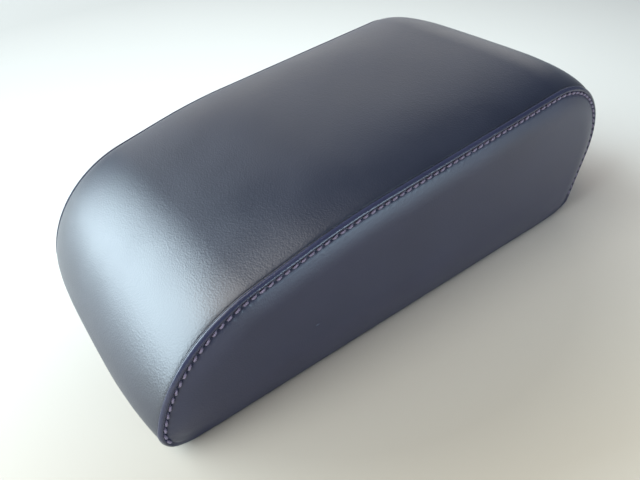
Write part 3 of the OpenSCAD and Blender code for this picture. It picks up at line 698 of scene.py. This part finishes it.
def mouldedPlastic(name, p):
    material, nodes, links, shader, coords = newMaterial(name)
    texture = nodes.new("ShaderNodeGroup")
    texture.node_tree = mouldGroup
    texture.inputs["Scale"].default_value = p["scale"]
    links.new(coords.outputs["Object"], texture.inputs["Vector"])
    tint(nodes, links, shader, texture.outputs["Scuff"], p, 0.45, 0.75)
    links.new(ramp(nodes, links, texture.outputs["Scuff"], *p["rough"]), shader.inputs["Roughness"])
    pores = bump(nodes, links, texture.outputs["Height"], p["bump"], 0.0002)
    links.new(pores.outputs["Normal"], shader.inputs["Normal"])
    return material


shellPlastic = mouldedPlastic("shellPlastic", {
    "dark": (0.026, 0.027, 0.030), "light": (0.040, 0.041, 0.045), "rough": (0.50, 0.62),
    "scale": 900.0, "bump": 0.25})
linerPlastic = mouldedPlastic("linerPlastic", {
    "dark": (0.014, 0.014, 0.016), "light": (0.026, 0.026, 0.028), "rough": (0.46, 0.60),
    "scale": 1500.0, "bump": 0.4})
bumperRubber = mouldedPlastic("bumperRubber", {
    "dark": (0.016, 0.016, 0.016), "light": (0.035, 0.034, 0.033), "rough": (0.75, 0.9),
    "scale": 700.0, "bump": 0.3})
bushNylon = mouldedPlastic("bushNylon", {
    "dark": (0.66, 0.64, 0.56), "light": (0.78, 0.76, 0.69), "rough": (0.38, 0.5),
    "scale": 800.0, "bump": 0.1})
paddingFoam = mouldedPlastic("paddingFoam", {
    "dark": (0.52, 0.44, 0.22), "light": (0.70, 0.63, 0.38), "rough": (0.85, 0.95),
    "scale": 1100.0, "bump": 0.9})


# Steel: faint drawn lines, blotches of oil or zinc, and small changes of roughness
def steelMaterial(name, p):
    material, nodes, links, shader, coords = newMaterial(name)
    stretch = nodes.new("ShaderNodeMapping")
    stretch.inputs["Scale"].default_value = p["stretch"]
    links.new(coords.outputs["Object"], stretch.inputs["Vector"])
    lines = noise(nodes, links, stretch.outputs["Vector"], 500.0, 4.0)
    blotch = noise(nodes, links, coords.outputs["Object"], 90.0, 5.0)
    tint(nodes, links, shader, blotch.outputs["Fac"], p)
    links.new(ramp(nodes, links, lines.outputs["Fac"], *p["rough"]), shader.inputs["Roughness"])
    scratches = bump(nodes, links, lines.outputs["Fac"], 0.12, 0.0001)
    links.new(scratches.outputs["Normal"], shader.inputs["Normal"])
    shader.inputs["Metallic"].default_value = 1.0
    return material


pressedSteel = steelMaterial("pressedSteel", {
    "dark": (0.34, 0.35, 0.36), "light": (0.46, 0.47, 0.47), "rough": (0.32, 0.48), "stretch": (1, 0.15, 1)})
brightSteel = steelMaterial("brightSteel", {
    "dark": (0.52, 0.53, 0.54), "light": (0.62, 0.63, 0.64), "rough": (0.18, 0.30), "stretch": (0.1, 1, 1)})
zincSteel = steelMaterial("zincSteel", {
    "dark": (0.42, 0.43, 0.44), "light": (0.56, 0.56, 0.55), "rough": (0.28, 0.42), "stretch": (1, 1, 1)})
springSteel = steelMaterial("springSteel", {
    "dark": (0.16, 0.16, 0.17), "light": (0.26, 0.26, 0.27), "rough": (0.25, 0.38), "stretch": (1, 1, 1)})


def paint(piece, material):
    piece.data.materials.clear()
    piece.data.materials.append(material)


paint(topLeather, darkLeather)
paint(sideLeatherRight, sideLeather)
paint(sideLeatherLeft, sideLeather)
for label in ("Right", "Left"):
    paint(bpy.data.objects["seamThread" + label], threadFinish)

finishes = {
    "foam_pad": paddingFoam, "side_pad_left": paddingFoam, "side_pad_right": paddingFoam,
    "base_shell": shellPlastic, "latch_housing": shellPlastic,
    "underside_liner": linerPlastic, "latch_lever": linerPlastic,
    "rubber_bumpers": bumperRubber, "hinge_bush_left": bushNylon, "hinge_bush_right": bushNylon,
    "hinge_bracket_left": pressedSteel, "hinge_bracket_right": pressedSteel, "console_bracket": pressedSteel,
    "hinge_shaft": brightSteel, "latch_pin": brightSteel, "cover_staples": brightSteel,
    "liner_screws": zincSteel, "hinge_screws": zincSteel, "latch_screws": zincSteel,
    "shaft_clips": springSteel, "hinge_spring": springSteel, "latch_spring": springSteel,
}
for node, material in finishes.items():
    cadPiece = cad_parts[node]
    for slotIndex in range(max(len(cadPiece.material_slots), 1)):
        if cadPiece.material_slots:
            cadPiece.material_slots[slotIndex].material = material
        else:
            cadPiece.data.materials.append(material)

print("armrest: floor and light")
studio = {
    # painted shadow on the right: darker floor colour round the armrest, lighter colour beyond it
    "floorPaintedShadow": (0.31, 0.255, 0.195),
    "floorBeyondPaintedShadow": (0.78, 0.685, 0.57),
    # painted window light on the left: lighter floor colour near the armrest, darker colour further out
    "floorPaintedWindowLight": (0.66, 0.63, 0.58),
    "floorBeyondPaintedWindowLight": (0.43, 0.405, 0.375),
    "floorHalf": 3.0,                   # metres
    "floorLevel": -0.0002,
    "floorToWindow": (-1.0, 0.3, 0.0),
    "paintedLightSideFade": (-0.20, 0.03),        # metres towards the window, from the painted shadow's tones on the right to the painted window light's on the left
    "paintedShadowFade": (0.16, 0.36),            # metres from the armrest, on the right, over which the painted shadow fades out
    "paintedWindowLightFade": (0.22, 0.65),        # and on the left, over which the painted pool of window light fades to the darker far colour
    "background": (0.97, 0.97, 0.96),
    "skyHigh": (0.08, 0.09, 0.13),      # above
    "skyLow": (0.21, 0.23, 0.28),       # at the horizon
    "skyTop": 0.75,                     # sine of the height where it is all the upper colour
    "skyStrength": 1.0,
    "window": {"azimuth": -151, "elevation": 26, "distance": 3.6, "size": (4.95, 3.3), "radiance": 10.2,
               "colour": (0.74, 0.91, 1.0)},
    "wall": {"azimuth": -58, "elevation": 19, "distance": 2.4, "size": (3.2, 1.4), "radiance": 1.0,
             "colour": (1.0, 0.97, 0.90)},
    "ceiling": {"azimuth": 172, "elevation": 64, "distance": 2.2, "size": (1.9, 1.4), "radiance": 3.7,
                "colour": (1.0, 0.96, 0.90)},
    "sideWindow": {"azimuth": 71, "elevation": 7, "distance": 2.4, "size": (1.2, 0.75), "radiance": 11.0,
                   "colour": (0.62, 0.84, 1.0)},
}


# Floor with painted light and shade: a painted pool of window light, lighter and cooler on the window's
# side, and a painted shadow, darker round the armrest
def makeFloor():
    p = studio
    size, low = p["floorHalf"], p["floorLevel"]
    mesh = bpy.data.meshes.new("studioFloor")
    corners = [(-size, -size, low), (size, -size, low), (size, size, low), (-size, size, low)]
    mesh.from_pydata(corners, [], [(0, 1, 2, 3)])
    floor = bpy.data.objects.new("studioFloor", mesh)
    scene.collection.objects.link(floor)
    material, nodes, links, shader, coords = newMaterial("studioFloor")
    spread = nodes.new("ShaderNodeVectorMath")
    spread.operation = "DOT_PRODUCT"
    spread.inputs[1].default_value = p["floorToWindow"]
    links.new(coords.outputs["Object"], spread.inputs[0])
    # painted light: towards the window the floor takes the painted window light's tones, away from it the
    # painted shadow's
    tone = ramp(nodes, links, spread.outputs["Value"], 0, 1, *p["paintedLightSideFade"])
    away = nodes.new("ShaderNodeVectorMath")
    away.operation = "LENGTH"
    links.new(coords.outputs["Object"], away.inputs[0])
    # painted shadow: the darker colour near the armrest fades to the lighter one further out
    far = ramp(nodes, links, away.outputs["Value"], 0, 1, *p["paintedShadowFade"])
    right = mixColour(nodes, links, far, p["floorPaintedShadow"], p["floorBeyondPaintedShadow"])
    # painted pool of window light: the lighter colour near the armrest fades to the darker one further out
    outward = ramp(nodes, links, away.outputs["Value"], 0, 1, *p["paintedWindowLightFade"])
    left = mixColour(nodes, links, outward, p["floorPaintedWindowLight"], p["floorBeyondPaintedWindowLight"])
    colour = mixColour(nodes, links, tone, p["floorPaintedShadow"], p["floorPaintedWindowLight"])
    links.new(right, colour.node.inputs[6])
    links.new(left, colour.node.inputs[7])
    links.new(colour, shader.inputs["Base Color"])
    shader.inputs["Roughness"].default_value = 0.9
    mesh.materials.append(material)


def makeWorld():
    world = bpy.data.worlds.new("studioLight")
    scene.world = world
    world.use_nodes = True
    nodes, links = world.node_tree.nodes, world.node_tree.links
    background = nodes["Background"]
    coords = nodes.new("ShaderNodeTexCoord")
    split = nodes.new("ShaderNodeSeparateXYZ")
    links.new(coords.outputs["Generated"], split.inputs[0])
    height = ramp(nodes, links, split.outputs["Z"], 0, 1, 0.0, studio["skyTop"])
    sky = mixColour(nodes, links, height, studio["skyLow"], studio["skyHigh"])
    links.new(sky, background.inputs["Color"])
    background.inputs["Strength"].default_value = studio["skyStrength"]
    seen = nodes.new("ShaderNodeBackground")
    seen.inputs["Color"].default_value = (*studio["background"], 1)
    path = nodes.new("ShaderNodeLightPath")
    choose = nodes.new("ShaderNodeMixShader")
    links.new(path.outputs["Is Camera Ray"], choose.inputs[0])
    links.new(background.outputs[0], choose.inputs[1])
    links.new(seen.outputs[0], choose.inputs[2])
    links.new(choose.outputs[0], nodes["World Output"].inputs["Surface"])


# Area lamp at a bearing (0 is along +Y, 90 along +X) and height, facing the object;
# power = radiance x pi x area
def makeLamp(name, p, target=(0, 0, 0.05)):
    data = bpy.data.lights.new(name, "AREA")
    data.shape = "RECTANGLE"
    data.size, data.size_y = p["size"]
    data.energy = p["radiance"] * math.pi * p["size"][0] * p["size"][1]
    data.color = p["colour"]
    lamp = bpy.data.objects.new(name, data)
    scene.collection.objects.link(lamp)
    az, el = math.radians(p["azimuth"]), math.radians(p["elevation"])
    back = np.array([math.sin(az) * math.cos(el), math.cos(az) * math.cos(el), math.sin(el)])
    place = np.array(target) + back * p["distance"]
    right = np.cross([0, 0, 1], back)
    right /= np.linalg.norm(right)
    up = np.cross(back, right)
    lamp.matrix_world = frameMatrix(right, up, back, place)


makeFloor()
makeWorld()
makeLamp("windowLight", studio["window"])
makeLamp("wallLight", studio["wall"])
makeLamp("ceilingLight", studio["ceiling"])
makeLamp("sideLight", studio["sideWindow"])
scene.view_settings.view_transform = "Standard"

print("armrest: done")
